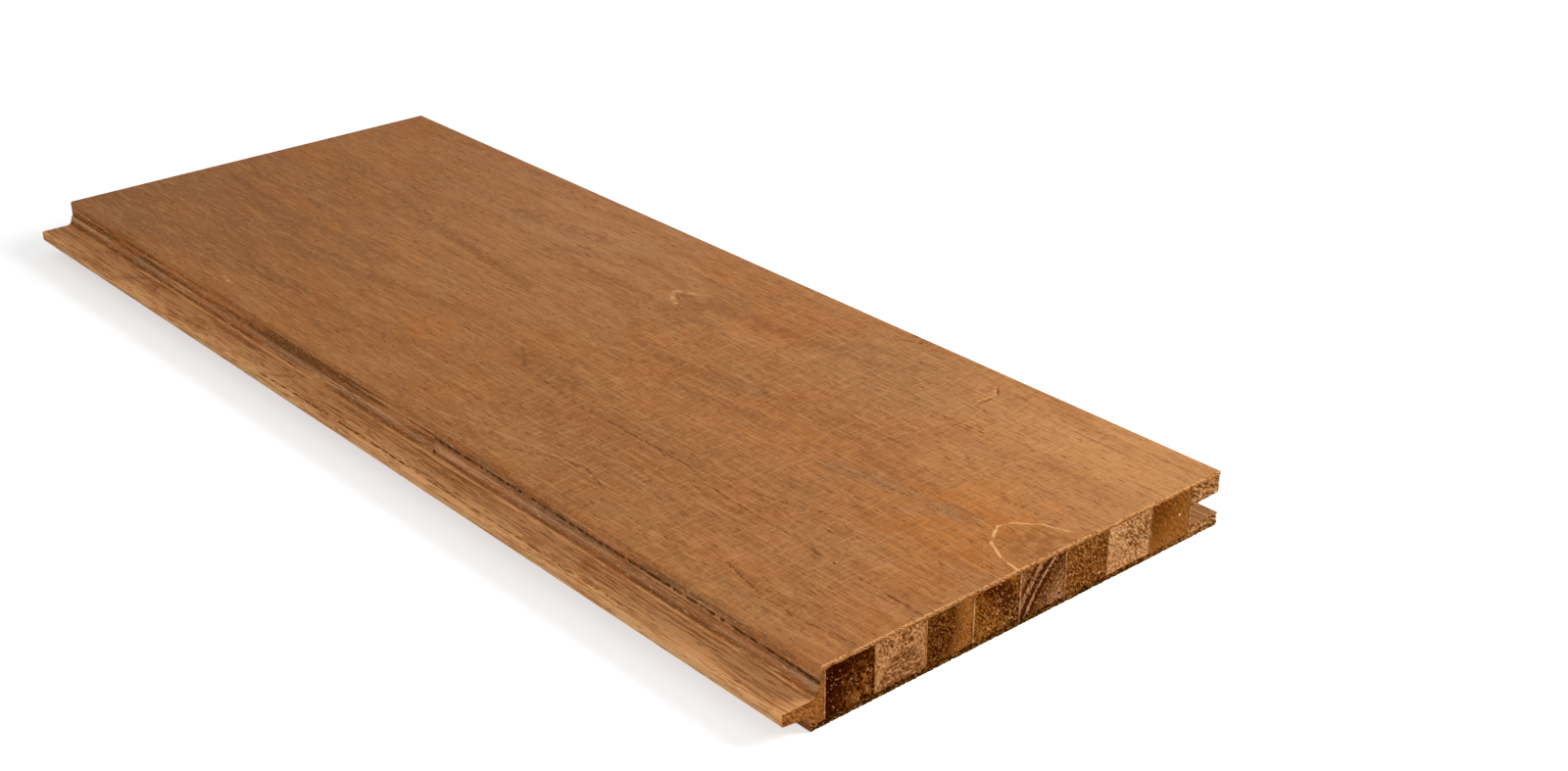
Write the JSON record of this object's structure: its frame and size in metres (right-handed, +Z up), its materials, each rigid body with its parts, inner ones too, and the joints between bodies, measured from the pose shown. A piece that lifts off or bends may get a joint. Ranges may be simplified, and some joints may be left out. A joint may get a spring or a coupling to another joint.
{
  "type": "sauna panelling board",
  "caption": "Tongue and groove sauna panelling board: edge-glued strips of heat-treated wood between a face veneer and a back veneer, cut as a short length.",
  "frame": {"origin": "bottom centre of the board's box, on the surface it lies on", "axes": "+X across the board from the tongue to the groove, +Y along its length and grain, +Z up out of the show face"},
  "size_m": [0.14, 0.35, 0.015],
  "materials": {
    "face_veneer": "heat-treated wood, planed smooth, bare",
    "back_veneer": "heat-treated wood, bare, sawn ends",
    "tongue_strip": "heat-treated wood, bare, sawn ends",
    "tongue_strip_far": "heat-treated wood, bare, sawn ends",
    "core_strip_1": "heat-treated wood, bare, sawn ends",
    "core_strip_2": "heat-treated wood, bare, sawn ends",
    "core_strip_3": "heat-treated wood, bare, sawn ends",
    "core_strip_4": "heat-treated wood, bare, sawn ends",
    "core_strip_5": "heat-treated wood, bare, sawn ends",
    "core_strip_6": "heat-treated wood, bare, sawn ends",
    "core_strip_7": "heat-treated wood, bare, sawn ends",
    "core_strip_8": "heat-treated wood, bare, sawn ends",
    "groove_strip": "heat-treated wood, bare, sawn ends"
  },
  "bodies": {
    "root": {"face_veneer": "face_veneer", "back_veneer": "back_veneer", "tongue_strip": "tongue_strip", "tongue_strip_far": "tongue_strip_far", "core_strip_1": "core_strip_1", "core_strip_2": "core_strip_2", "core_strip_3": "core_strip_3", "core_strip_4": "core_strip_4", "core_strip_5": "core_strip_5", "core_strip_6": "core_strip_6", "core_strip_7": "core_strip_7", "core_strip_8": "core_strip_8", "groove_strip": "groove_strip"}
  },
  "joints": []
}
